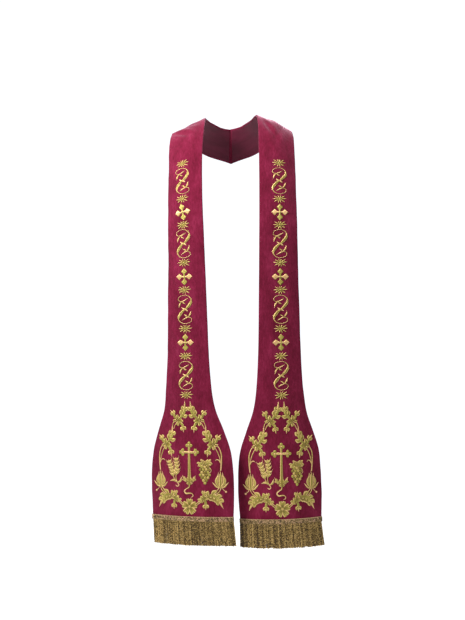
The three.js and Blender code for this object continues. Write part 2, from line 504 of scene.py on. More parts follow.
GOLD_TONES = (
    (0.0, (0.040, 0.010, 0.004)),
    (0.2, (0.120, 0.068, 0.010)),
    (0.36, (0.270, 0.190, 0.026)),
    (0.52, (0.440, 0.385, 0.064)),
    (0.7, (0.640, 0.460, 0.130)),
    (1.0, (0.900, 0.540, 0.270)),
)
BRAID_TONES = (
    (0.0, (0.060, 0.032, 0.010)),
    (0.4, (0.260, 0.170, 0.060)),
    (0.7, (0.420, 0.290, 0.120)),
    (1.0, (0.720, 0.430, 0.260)),
)
BULLION_TONES = (
    (0.0, (0.030, 0.015, 0.004)),
    (0.35, (0.105, 0.058, 0.013)),
    (0.6, (0.235, 0.148, 0.034)),
    (1.0, (0.660, 0.450, 0.160)),
)


def thread_material(name, tones, thread_pitch, metallic, rough):
    """Gold thread: a tone for each part of a motif, and fine ridges, one for each thread, with painted shade between
    them.
    """
    n = Nodes(name)
    uv = n.add("ShaderNodeUVMap", uv_map="flat").outputs[0]
    along = n.add("ShaderNodeSeparateXYZ", {"Vector": uv}).outputs[0]
    wave = n.math("SINE", n.math("MULTIPLY", along, 2 * math.pi / thread_pitch))
    ridges = n.math("ADD", n.math("MULTIPLY", wave, 0.5), 0.5)
    own = n.add("ShaderNodeAttribute", attribute_name="tone").outputs["Fac"]
    drift = n.noise(uv, 0.55, 3, 0.6)
    twist = n.noise(n.flat((3.0, 0.7, 1)), 1.0, 2)
    shade = n.math("ADD", own, n.math("MULTIPLY", n.math("SUBTRACT", drift, 0.5), 0.6))
    shade = n.math("ADD", shade, n.math("MULTIPLY", n.math("SUBTRACT", twist, 0.5), 0.3), clamp=True)
    # painted shade: colour darkened in the grooves between threads
    painted_groove_shade = n.ramp(ridges, (0.0, (0.62, 0.58, 0.52)), (0.55, (1, 1, 1)))
    colour = n.mix(1.0, n.ramp(shade, *tones), painted_groove_shade, "MULTIPLY")
    height = n.math("ADD", ridges, n.math("MULTIPLY", twist, 0.5))
    n.set(Base_Color=colour, Metallic=metallic, Roughness=rough, Normal=n.bump(height, 0.00014, 0.8))
    n.set(Anisotropic=0.55, Specular_IOR_Level=0.5)
    n.set(Tangent=n.add("ShaderNodeTangent", direction_type="UV_MAP", uv_map="flat").outputs[0])
    return n.material


def bullion_material():
    """Dull gold cord, with painted shade in the lay of its twist."""
    n = Nodes("gold_bullion")
    uv = n.add("ShaderNodeUVMap", uv_map="flat").outputs[0]
    split = n.add("ShaderNodeSeparateXYZ", {"Vector": uv})
    lay = n.math("ADD", n.math("MULTIPLY", split.outputs[0], 2.0), n.math("MULTIPLY", split.outputs[1], 2.7))
    fibre = n.math("ADD", n.math("MULTIPLY", n.math("SINE", n.math("MULTIPLY", lay, 2 * math.pi)), 0.5), 0.5)
    own = n.add("ShaderNodeAttribute", attribute_name="tone").outputs["Fac"]
    drift = n.noise(uv, 0.32, 1, 0.5)
    shade = n.math("ADD", own, n.math("MULTIPLY", n.math("SUBTRACT", drift, 0.5), 2.0), clamp=True)
    # painted shade: colour darkened in the lay of the twist
    painted_groove_shade = n.ramp(fibre, (0.0, (0.7, 0.66, 0.6)), (0.6, (1, 1, 1)))
    colour = n.mix(1.0, n.ramp(shade, *BULLION_TONES), painted_groove_shade, "MULTIPLY")
    n.set(Base_Color=colour, Metallic=0.3, Roughness=0.45, Normal=n.bump(fibre, 0.00015, 0.6))
    return n.material


# --------------------------------------------------------------------------------------------------------
# Velvet halves
# --------------------------------------------------------------------------------------------------------

EDGE_ROUND = WALL / 2
EDGE_INSETS = (EDGE_ROUND, 2.6, 3.7, 4.4, 5.2, 8.0)  # columns near an edge, in from it
LINING_MARGIN = 4.0  # velvet turned over to the back
LINING_PROUD = 0.45
INNER_COLUMNS = 37
EDGE_STEPS = 5
ROW_STEP = 4.0


def section(width):
    """Across and depth of the points round one cross-section, from the inner edge's front."""
    half = width / 2
    spread = np.linspace(-1, 1, INNER_COLUMNS)[1:-1]
    inner = -(half[:, None] - np.array(EDGE_INSETS))
    core = spread * (half[:, None] - EDGE_INSETS[-1])
    front = np.concatenate([inner, core, -inner[:, ::-1]], axis=1)
    bend = np.linspace(0, math.pi, EDGE_STEPS + 2)[1:-1]
    outer_arc = half[:, None] - EDGE_ROUND + EDGE_ROUND * np.sin(bend)
    arc_depth = -EDGE_ROUND + EDGE_ROUND * np.cos(bend)
    across = np.concatenate([front, outer_arc, front[:, ::-1], -outer_arc], axis=1)
    inset = half[:, None] - np.abs(front[:, ::-1])
    proud = LINING_PROUD * fade(inset, 3.8, 4.3) - 0.15 * fade(inset, 4.6, 7.5)
    rows = len(width)
    depth = np.concatenate(
        [
            np.zeros_like(front),
            np.broadcast_to(arc_depth, (rows, EDGE_STEPS)),
            -WALL - proud,
            np.broadcast_to(arc_depth[::-1], (rows, EDGE_STEPS)),
        ],
        axis=1,
    )
    return across, depth


NAPE_ROWS = table("along open", (0, 0), (0, 0.8), (0.7, 0.94), (1.8, 1), (4.0, 1), (4.4, 1))
HEM_ROWS = table("above open", (4.4, 1), (4.0, 1), (2.6, 1), (1.6, 1), (1.0, 0.93), (0.5, 0.73), (0.15, 0.42), (0, 0))


def rows_along(end):
    """Distances of the cross-sections from the nape, and how far open each one is at the two ends."""
    body = np.linspace(8, end - 8, int((end - 16) / ROW_STEP))
    along = np.concatenate([NAPE_ROWS["along"], body, end - HEM_ROWS["above"]])
    return along, np.concatenate([NAPE_ROWS["open"], np.ones(len(body)), HEM_ROWS["open"]])


def velvet_half(side, materials):
    """One half as a closed shell: velvet in front and turned over the edges, satin behind."""
    along, ends = rows_along(HEM)
    width = width_at(along)
    across, depth = section(width)
    from_end = np.minimum(along, HEM - along)[:, None]
    lining = fade(from_end, 4.05, 4.35)
    depth = np.where(depth < -WALL, -WALL + (depth + WALL) * lining, depth)
    depth = -WALL / 2 + (depth + WALL / 2) * ends[:, None]
    points = on_cloth(side, along[:, None], across, depth)
    points[..., 0] -= side["hand"] * GAP / 2 * (1 - fade(along, 0, 4))[:, None]  # the seam is drawn closed
    columns = across.shape[1]
    front_columns = (columns - 2 * EDGE_STEPS) // 2
    place = np.arange(columns)
    behind = (place >= front_columns + EDGE_STEPS) & (place < columns - EDGE_STEPS)
    inset = width[:, None] / 2 - np.abs(across)
    satin = behind & (inset >= 3.9) & (np.roll(inset, -1, axis=1) >= 3.6) & (from_end >= 4.0)
    satin = satin[:-1] & satin[1:]
    build = Build()
    uv = np.stack([across * side["hand"], np.broadcast_to(along[:, None], across.shape)], axis=-1)
    build.grid(points, uv, around=True, slot=satin.astype(int))
    return build.make(f"velvet_{side['name']}", materials, flip=side["hand"] > 0, weld=1e-6)


# --------------------------------------------------------------------------------------------------------
# Embroidery: satin stitch laid on the velvet
# --------------------------------------------------------------------------------------------------------

STITCH_SUNK = 0.3  # the edges of a motif sink into the pile
STITCH_STEP = 1.1
PAINTED_SHADOW_RIM = 0.75  # a flat dark strip of painted shadow reaches this far round a motif
PAINTED_SHADOW_RIM_LIFT = 0.14
# Tones of gold, from painted shade where a thread dives into the pile to the pale outline thread; the darkest also
# paints the shadow strip round a motif.
EDGE, DEEP, OLIVE, FILL, BRIGHT, PALE = 0.0, 0.2, 0.36, 0.52, 0.7, 1.0


def spline(points, step=STITCH_STEP):
    """Even points on a smooth curve through a few given ones, and their distances along it."""
    given = np.array(points, float)
    ends = np.vstack([2 * given[0] - given[1], given, 2 * given[-1] - given[-2]])
    t = np.linspace(0, 1, 12, endpoint=False)[:, None]
    pieces = []
    for a, b, c, d in zip(ends, ends[1:], ends[2:], ends[3:]):
        bend = (2 * a - 5 * b + 4 * c - d) * t**2 + (3 * b - a - 3 * c + d) * t**3
        pieces.append((2 * b + (c - a) * t + bend) / 2)
    line = np.vstack([*pieces, given[-1:]])
    length = np.concatenate([[0], np.cumsum(np.linalg.norm(np.diff(line, axis=0), axis=1))])
    at = np.linspace(0, length[-1], max(int(length[-1] / step), 4) + 1)
    return np.stack([np.interp(at, length, line[:, k]) for k in (0, 1)], axis=1), at


def right_of(line):
    """The direction to the right of a path, seen from in front, at each of its points."""
    ahead = unit(np.gradient(line, axis=0))
    return np.stack([ahead[:, 1], -ahead[:, 0]], axis=1)


def turned_by(vector, degrees):
    """A flat vector turned anticlockwise."""
    c, s = math.cos(math.radians(degrees)), math.sin(math.radians(degrees))
    return np.array([c * vector[0] - s * vector[1], s * vector[0] + c * vector[1]])


class Embroidery:
    """Stitched motifs in flat millimetres: x to the viewer's right and y up, as seen from in front."""

    def __init__(self, floor=0.0):
        self.floor = floor
        self.patches = []
        self.place()

    def place(self, x=0.0, y=0.0, turned=0.0, mirrored=False):
        """Where the next motifs go; turned is in degrees, and a mirrored one swaps its left and right."""
        self.origin = (x, y)
        self.turned = math.radians(turned)
        self.mirrored = mirrored

    def lay(self, flat, lift, uv, tone):
        """Keep one grid of points, put where place() says."""
        x = -flat[..., 0] if self.mirrored else flat[..., 0]
        y = flat[..., 1]
        c, s = math.cos(self.turned), math.sin(self.turned)
        placed = np.stack([self.origin[0] + c * x - s * y, self.origin[1] + s * x + c * y], axis=-1)
        lift, tone = np.broadcast_to(lift, x.shape), np.broadcast_to(tone, x.shape)
        patch = (placed, lift, uv, tone)
        if self.mirrored:
            patch = tuple(part[:, ::-1] for part in patch)
        self.patches.append(patch)

    def column(self, points, widths, tones=(FILL,), height=1.1, rim=None, around=7, base=0.0):
        """Satin stitch along a path: domed, its threads straight across, with a rim of another tone, its outer
        threads painted dark as shade and, on the velvet, a strip of painted shadow round it.
        """
        line, at = spline(points)
        t = at / at[-1]
        width = np.interp(t, np.linspace(0, 1, len(widths)), widths)
        tone = np.interp(t, np.linspace(0, 1, len(tones)), tones)
        s = np.linspace(-1, 1, around)
        out = s * width[:, None] / 2
        top = np.minimum(height, 0.4 * width + 0.15)[:, None]
        lift = base - STITCH_SUNK + (top + STITCH_SUNK) * np.sqrt(1 - s**2)
        tone = tone[:, None] + 0 * s
        if rim is not None:
            tone[:, [1, -2]] = rim
        # painted shade: the outermost threads take the darkest tone where they dive into the pile
        tone[:, [0, -1]] = EDGE
        # painted shadow: a flat dark strip lying just above the velvet round the motif
        if not base:
            shadow_brim = out[:, -1:] + PAINTED_SHADOW_RIM
            out = np.hstack([-shadow_brim, out, shadow_brim])
            lift = np.pad(lift, ((0, 0), (1, 1)), constant_values=PAINTED_SHADOW_RIM_LIFT)
            tone = np.pad(tone, ((0, 0), (1, 1)), constant_values=EDGE)
        flat = line[:, None] + right_of(line)[:, None] * out[..., None]
        uv = np.stack(np.broadcast_arrays(at[:, None], out), axis=-1)
        self.lay(flat, lift, uv, tone)

    def petal(self, root, tip, width, tones, rim=PALE, bend=0.0, blunt=0.5, height=1.2, base=0.0):
        """One pointed or blunt lobe from its root to its tip; bend moves its middle to the right."""
        root, tip = np.array(root, float), np.array(tip, float)
        way = tip - root
        side = np.array([way[1], -way[0]]) * bend
        path = [root, root + way * 0.45 + side, tip]
        widths = (0.35 * width, 0.75 * width, width, (0.6 + 0.35 * blunt) * width, 0.6 * blunt * width + 0.3)
        self.column(path, widths, tones, height, rim, base=base)

    def leaf(self, points, width, pairs=4, tones=(OLIVE, FILL), rib=DEEP):
        """A lobed leaf: lobes fan from its midrib, shorter and steeper towards the tip."""
        line, at = spline(points, 0.9)
        t = at / at[-1]
        ahead = unit(np.gradient(line, axis=0))
        for hand in (-1, 1):
            for k in range(pairs):
                share = 0.08 + 0.54 * k / max(pairs - 1, 1)
                here = int(share * (len(line) - 1))
                reach = width / 2 * (1.66 - 1.3 * abs(share - 0.26))
                lean = -hand * (56 - 26 * share)
                way = turned_by(ahead[here], lean) * reach
                tone = tones[0] + (tones[-1] - tones[0]) * share + (0.07 if hand < 0 else -0.05)
                broad = min(at[-1] / pairs * 0.86, 0.62 * width)
                tones_out = (DEEP, tone, tone + 0.1)
                self.petal(line[here], line[here] + way, broad, tones_out, bend=0.2 * hand, blunt=0.35)
        tip_widths = (0.2 * width, 0.42 * width, 0.52 * width, 0.5 * width, 0.28 * width, 0.5)
        self.column(points, tip_widths, (tones[0], tones[-1], PALE), 1.3, base=0.1)
        if rib is not None:
            kept = line[: max(int(len(line) * 0.8), 3)]
            self.column(kept, (1.3, 1.0, 0.6), (rib,), 0.5, around=5, base=1.1)

    def dot(self, x, y, radius, tone=BRIGHT, height=1.3):
        """A round knot of stitches."""
        t = np.linspace(0, 1, 6)[:, None]
        around = np.linspace(0, 2 * math.pi, 17)[None, ::-1]
        flat = np.stack([x + radius * t * np.cos(around), y + radius * t * np.sin(around)], axis=-1)
        lift = -STITCH_SUNK + (height + STITCH_SUNK) * np.sqrt(1 - t**2) + 0 * around
        # painted shade: the outer fifth of the knot fades to the darkest tone at its rim
        self.lay(flat, lift, flat.copy(), tone - (tone - EDGE) * np.clip(t * 5 - 4, 0, 1) + 0 * around)

    def make(self, name, side, material, shift=0.0, foot=PANEL_FOOT):
        """Lay every motif on one half of the stole, x across it and y up from its foot."""
        build = Build()
        sizes = [patch[1].size for patch in self.patches]
        flat = np.concatenate([patch[0].reshape(-1, 2) for patch in self.patches])
        lift = np.concatenate([patch[1].ravel() for patch in self.patches])
        across = side["hand"] * flat[:, 0] + shift
        points = on_cloth(side, foot - flat[:, 1], across, lift + self.floor)
        for chunk, patch in zip(np.split(points, np.cumsum(sizes)[:-1]), self.patches):
            rows, columns = patch[1].shape
            build.grid(chunk.reshape(rows, columns, 3), patch[2], patch[3])
        return build.make(name, [material])


# Heights above the foot of the velvet's face.
STARS_AT = (939.5, 836, 765.5, 666, 594, 492, 420, 318)
CROSSES_AT = (800, 629, 456)
SCROLLS_AT = (888, 716, 543, 369)
STAR_PETALS = table(
    "angle reach width",
    (6, 19.0, 3.3),
    (33, 17.0, 3.2),
    (72, 11.0, 2.9),
    (112, 11.0, 2.9),
    (150, 17.0, 3.2),
    (178, 18.5, 3.3),
    (206, 17.0, 3.2),
    (246, 11.5, 2.9),
    (288, 11.5, 2.9),
    (330, 16.5, 3.2),
)


def star(work, y, tilt):
    """A flattened open flower: narrow pointed petals round a small eye."""
    work.place(0, y, tilt)
    for angle, reach, width in zip(*STAR_PETALS.values()):
        way = turned_by((1, 0), angle)
        path = [way * 1.0, way * reach * 0.55, way * reach]
        work.column(path, (1.0, width * 0.55, width * 0.95, width * 0.85, 0.3), (FILL, 0.6, BRIGHT, PALE))
    work.dot(0, 0, 2.2, FILL, 1.5)


CROSS_ARM_WIDTHS = (5.6, 5.0, 4.8, 5.4, 8.5, 14.5, 18.0, 15.0, 9.5, 5.0, 0.8)
CROSS_REACH = 22.5


def cross(work, y, tilt):
    """A cross with lozenge ends; the upright and the arms are stitched across, so they catch light apart, and their
    tones also paint that light, the upright darker and the arms paler.
    """
    # painted light: lower tones for the upright and higher ones for the arms
    for angle, tones in ((90, (0.42, 0.64)), (270, (0.42, 0.56)), (0, (0.84, 0.95)), (180, (0.84, 0.9))):
        work.place(0, y, angle + tilt)
        arm = [(0, 0), (CROSS_REACH / 2, 0), (CROSS_REACH, 0)]
        work.column(arm, CROSS_ARM_WIDTHS, tones, 1.3, around=9)
    work.place(0, y)
    work.dot(0, 0, 2.6, FILL, 1.6)


SCROLL_LOOP = [(9, 29), (3, 25.5), (-4, 22), (-11, 20.5), (-17, 23.5), (-18, 29), (-13.5, 34), (-5, 37)]
SCROLL_SWELL = [(4, 37), (12.5, 33.5), (18, 27), (17.5, 19), (13, 12), (7, 5.5), (0, 0)]


def scroll(work, y, tilt):
    """An S of two open loops that swell into leaves, the same upside down."""
    for turned in (0, 180):
        work.place(0, y, turned + tilt)
        loop_end = SCROLL_LOOP[-1]
        swell_tones = (BRIGHT, FILL, OLIVE, FILL)
        work.column(SCROLL_LOOP, (0.6, 3.4, 2.8, 1.6, 1.5, 1.5, 1.6), (PALE, PALE, BRIGHT, PALE, PALE), around=5)
        work.column([loop_end, *SCROLL_SWELL[:3]], (1.6, 1.6, 2.0, 3.0), (PALE, BRIGHT), around=5)
        work.column(SCROLL_SWELL[2:], (2.6, 7.0, 8.6, 6.6, 2.6), swell_tones, 1.6, rim=PALE, around=9)
        work.column([(17.5, 24), (16, 17), (11, 10)], (0.5, 1.3, 0.5), (DEEP,), 0.5, around=5, base=1.3)
        work.petal((-9, 19.5), (-17, 4.5), 4.8, (FILL, BRIGHT, PALE), bend=0.1, blunt=0.1)
        work.petal((-7, 20.5), (2.5, 14), 3.6, (FILL, BRIGHT), bend=0.1, blunt=0.1)
        work.petal((0, 1), (-8.5, 5), 4.6, (BRIGHT, PALE), bend=-0.12, blunt=0.2)
        work.petal((0, 1), (6.5, -2.5), 3.6, (BRIGHT, PALE), bend=-0.12, blunt=0.1)


def band_embroidery(side, material, shift, tilt):
    """tilt turns the motifs near the shoulder, where the cloth was stitched a little askew."""
    work = Embroidery()
    lean = lambda y: tilt * float(fade(np.array(float(y)), 600, 820))
    for y in STARS_AT:
        star(work, y, lean(y))
    for y in CROSSES_AT:
        cross(work, y, lean(y))
    for y in SCROLLS_AT:
        scroll(work, y, lean(y) * 0.4)
    return work.make(f"band_embroidery_{side['name']}", side, material, shift)


def rosebud(work, x, y):
    """A closed bud: a broad middle petal, two wrapped ones, pointed tips and two spread sepals."""
    for lean in (-1, 1):
        side_tones = (OLIVE, FILL, BRIGHT)
        work.petal((x + lean * 3, y - 19), (x + lean * 5.5, y + 13), 9.5, side_tones, bend=lean * 0.2, blunt=0.2)
        work.column([(x + lean * 5, y + 8), (x + lean * 6, y + 13), (x + lean * 5, y + 19)], (3.0, 2.4, 0.5), (PALE,))
        sepal = [(x + lean, y - 20), (x + lean * 9, y - 19.5), (x + lean * 15, y - 14), (x + lean * 21, y - 7)]
        work.column(sepal, (2.2, 4.2, 4.6, 3.2, 0.5), (BRIGHT, FILL, PALE), rim=PALE)
    work.petal((x, y - 20), (x, y + 15), 13.0, (OLIVE, FILL, FILL), blunt=0.5, height=1.7)
    work.column([(x, y + 6), (x + 0.5, y + 14), (x - 0.5, y + 23)], (3.6, 3.0, 0.5), (FILL, PALE))
    work.column([(x, y - 16), (x, y - 4), (x, y + 8)], (0.7, 1.4, 0.7), (DEEP,), 0.5, around=5, base=1.5)
    work.dot(x, y - 20, 3.4, FILL, 1.7)


THIN_STEM = (2.0, 2.3, 2.0)
STEM_TONES = (PALE, BRIGHT, PALE)


def wreath_side(work):
    """The right half of the wreath; the left half is its mirror."""
    # Upper spray, closing the oval's point.
    work.leaf([(31, 250), (21, 260), (11, 274), (7, 303)], 19, 3)
    work.leaf([(32, 252), (38, 259), (41, 268), (51, 278)], 15, 2)
    work.leaf([(31, 250), (24, 245), (17, 238), (14, 219)], 16, 2)
    work.column([(32, 251), (42, 247), (48, 232)], THIN_STEM, STEM_TONES)
    work.column([(29, 248), (37, 241), (43, 229)], THIN_STEM, STEM_TONES)
    # Middle spray.
    work.leaf([(67, 188), (57, 198), (49, 211), (46, 237)], 20, 3)
    work.leaf([(67, 188), (74, 195), (77, 204), (87, 214)], 15, 2)
    work.leaf([(67, 188), (60, 182), (53, 174), (50, 155)], 17, 2)
    # Long stems down to the bud, with a tendril.
    work.column([(68, 190), (79, 182), (86, 166), (87, 146), (85, 120)], (2.2, 2.8, 3.4, 4.2, 3.4), STEM_TONES)
    work.column([(66, 186), (74, 174), (81, 158), (85, 140)], (2.0, 2.4, 2.4, 1.2), STEM_TONES)
    work.column([(86, 138), (81, 147), (75, 149), (70, 146)], (2.6, 3.0, 2.4, 0.6), (BRIGHT, PALE))
    rosebud(work, 84, 97)
    # Stems from the bud to the foot of the wreath, with a berry.
    work.column([(82, 77), (73, 67), (58, 54)], THIN_STEM, STEM_TONES)
    work.column([(86, 76), (80, 65), (66, 55)], THIN_STEM, STEM_TONES)
    work.column([(88, 76), (92, 70), (97, 66)], (1.6, 1.8, 1.6), (PALE,))
    work.dot(98, 65, 2.8, PALE)
    # Foot sprays.
    work.leaf([(48, 50), (60, 56), (76, 48), (91, 21)], 21, 4)
    work.leaf([(39, 47), (39, 57), (43, 69)], 14, 2)
    work.leaf([(39, 48), (44, 37), (45, 18)], 16, 2)
    work.leaf([(44, 51), (36, 48), (29, 43), (22, 36)], 12, 2)
    work.column([(31, 43), (23, 37), (13, 30)], THIN_STEM, STEM_TONES)
    work.column([(30, 38), (23, 32), (13, 25)], THIN_STEM, STEM_TONES)


def flower(work, y):
    """An open flower of five notched petals, each of two lobes."""
    work.place(0, y)
    for k in range(5):
        angle = 90 + 72 * k
        for lean, reach in ((-15, 21), (15, 21), (0, 17)):
            way = turned_by((1, 0), angle + lean)
            work.petal(way * 1.5, way * reach, 11.5, (DEEP, OLIVE, FILL), blunt=1.1, base=0.15 * (lean == 0))
        way = turned_by((1, 0), angle)
        work.column([way * 4, way * 10, way * 15], (0.6, 1.3, 0.6), (DEEP,), 0.5, around=5, base=1.3)
    work.dot(0, 0, 4.4, BRIGHT, 2.2)


def wheat_ear(work, path, grains):
    """A curved ear of wheat: paired grains with short beards."""
    line, _ = spline(path, 1.0)
    ahead = unit(np.gradient(line, axis=0))
    for k in range(grains):
        here = int(k * (len(line) - 5) / (grains - 1))
        base, way = line[here], ahead[here]
        for lean in (-1, 1):
            tip = base + turned_by(way, -36 * lean) * 12.5
            work.petal(base, tip, 7.0, (OLIVE, FILL, BRIGHT), bend=-0.12 * lean, blunt=0.3)
            work.column([tip - way, tip + turned_by(way, -14 * lean) * 6], (1.4, 0.4), (PALE,), around=5)
    top = line[-5]
    work.petal(top, top + ahead[-5] * 12, 6.0, (FILL, BRIGHT), blunt=0.2)


def trefoil(work, x, y, turned):
    """The budded end of a cross arm."""
    for ahead, beside in ((7.6, 0), (1.6, 5.4), (1.6, -5.4)):
        step = turned_by((ahead, beside), turned)
        work.dot(x + step[0], y + step[1], 4.7, FILL, 1.5)
    work.dot(*(np.array((x, y)) + turned_by((2.4, 0), turned)), 2.2, PALE, 2.0)


GRAPE_RADIUS = 4.3
GRAPE_ROWS = ((3, 130), (4, 123), (3, 116), (4, 109), (3, 102), (2, 95), (1, 88))


def emblem(work):
    """A budded cross between a tuft of wheat and a bunch of grapes, over a small scroll."""
    middle_y, foot_y, head_y, arm = 168, 84, 184, 16
    work.place()
    work.column([(0, foot_y), (0, middle_y), (0, head_y)], (12.0, 8.0, 6.6, 6.0), (OLIVE, FILL), 1.5, PALE, 9)
    work.column([(-arm, middle_y), (0, middle_y), (arm, middle_y)], (6.0, 6.4, 6.0), (BRIGHT,), 1.6, PALE, 9)
    trefoil(work, 0, head_y, 90)
    trefoil(work, arm, middle_y, 0)
    trefoil(work, -arm, middle_y, 180)
    work.dot(0, middle_y, 4.0, PALE, 2.1)
    # Two leaves and a curling tail at the foot of the cross.
    work.leaf([(0, foot_y + 3), (-8, 96), (-15, 99), (-20, 108)], 10, 3)
    work.leaf([(0, foot_y + 3), (8, 96), (14, 99), (17, 108)], 10, 3)
    tail = [(0, foot_y + 2), (-1, 77), (-9, 72), (-14, 66), (-9, 60), (-1, 61), (7, 60), (10, 54), (4, 50)]
    work.column(tail, (4.4, 3.0, 2.4, 3.4, 4.6, 3.6, 2.4, 2.2, 1.0), (FILL, PALE, BRIGHT, PALE), 1.3)
    # Wheat, on the viewer's left.
    for path, stalk in (
        ([(-46, 104), (-49, 120), (-56, 140)], [(-34, 88), (-42, 96), (-46, 106)]),
        ([(-38, 108), (-35, 124), (-37, 146)], [(-34, 88), (-38, 98), (-38, 110)]),
    ):
        work.column(stalk, (2.2, 2.4, 2.0), STEM_TONES)
        wheat_ear(work, path, 5)
    work.petal((-34, 88), (-56, 92), 6.5, (OLIVE, FILL, PALE), bend=0.2, blunt=0.0)
    work.petal((-34, 88), (-22, 104), 6.0, (OLIVE, FILL, PALE), bend=0.2, blunt=0.0)
    work.column([(-34, 88), (-30, 82), (-34, 78), (-40, 81)], (2.4, 2.8, 2.4, 1.0), (PALE,), 1.2)
    # Grapes, on the viewer's right.
    work.column([(32, 150), (40, 146), (43, 138), (43, 130)], (1.4, 2.4, 2.6, 2.6), STEM_TONES)
    for count, y in GRAPE_ROWS:
        for k in range(count):
            x = 43 + (k - (count - 1) / 2) * GRAPE_RADIUS * 1.9
            work.dot(x, y, GRAPE_RADIUS, (OLIVE, FILL, BRIGHT)[(k + int(y)) % 3], 2.0)
    work.leaf([(42, 135), (50, 139), (57, 142), (63, 138)], 15, 3)
    work.leaf([(42, 135), (35, 139), (29, 138), (24, 131)], 14, 3)
    work.column([(45, 134), (56, 128), (60, 120), (55, 115), (52, 120)], (1.6, 1.8, 1.8, 1.4, 0.8), (PALE,))


def panel_embroidery(side, material, shift):
    work = Embroidery()
    for mirrored in (False, True):
        work.place(mirrored=mirrored)
        wreath_side(work)
    flower(work, 26)
    emblem(work)
    return work.make(f"panel_embroidery_{side['name']}", side, material, shift)


# --------------------------------------------------------------------------------------------------------
# Fringe
# --------------------------------------------------------------------------------------------------------

TAPE_THICK = 1.0
BRAID_ROWS = ((3.2, 40), (6.8, -40), (10.2, 40))  # height above the hem, and slant
BRAID_PITCH = 2.4
CORD_PITCH = 1.5
TAPE_LOOP = ((0.2, 1), (0.0, 0.5), (0.2, 0), (6.5, 0), (12.8, 0), (13.0, 0.5), (12.8, 1), (6.5, 1))


def heading_tape(side, material):
    """The flat woven ground of the heading, closed all round."""
    half = width_at(HEM) / 2 + OVERHANG
    across = np.linspace(-half, half, 80)
    loop = np.array(TAPE_LOOP) * (1, TAPE_THICK) + (0, GAP)
    points = on_cloth(side, HEM - loop[None, :, 0], across[:, None], loop[None, :, 1])
    uv = np.stack(np.broadcast_arrays(across[:, None], loop[None, :, 0]), axis=-1)
    order = slice(None, None, -side["hand"])
    build = Build()
    build.grid(points[:, order], uv[:, order], DEEP, around=True)
    return build.make(f"heading_tape_{side['name']}", [material])


def heading_braid(side, material):
    """A plait of three slanting rows of gold under a fine pale cord."""
    half = width_at(HEM) / 2 + OVERHANG - 1.2
    work = Embroidery(floor=GAP + TAPE_THICK)
    draw = np.random.default_rng(side["seed"] + 20)
    for height, slant in BRAID_ROWS:
        for x in np.arange(-half, half, BRAID_PITCH):
            nudge = draw.uniform(-0.2, 0.2, 2)
            work.place(x + nudge[0], height + nudge[1], slant + draw.uniform(-7, 7))
            stitch = [(0, -2.8), (0, 0), (0, 2.8)]
            work.column(stitch, (1.0, 2.2, 2.4, 2.2, 1.0), (draw.uniform(-0.1, 1.05),), 0.9, around=5, base=0.1)
    for height, tone in ((12.1, 0.95), (1.5, 0.5)):
        for x in np.arange(-half, half, CORD_PITCH):
            work.place(x, height, -50)
            stitch = [(0, -1.4), (0, 0), (0, 1.4)]
            work.column(stitch, (1.0, 1.7, 1.0), (tone + draw.uniform(-0.3, 0.05),), 0.8, around=5, base=0.1)
    return work.make(f"heading_braid_{side['name']}", side, material, foot=HEM)


STRAND_RADIUS = 1.5
STRAND_PITCH = 3.3
STRAND_SIDES = 8
STRAND_STEP = 1.4
TWIST_LENGTH = 11.0
PLY_DEPTH = 0.26
LAYERS = (0.6, -0.85, -2.2)  # each layer's strands stand this far in front of the cloth's face
SWING = {"left": (1.0, 9.0), "right": (8.0, 3.0)}  # sideways swing of the tips, inner and outer end


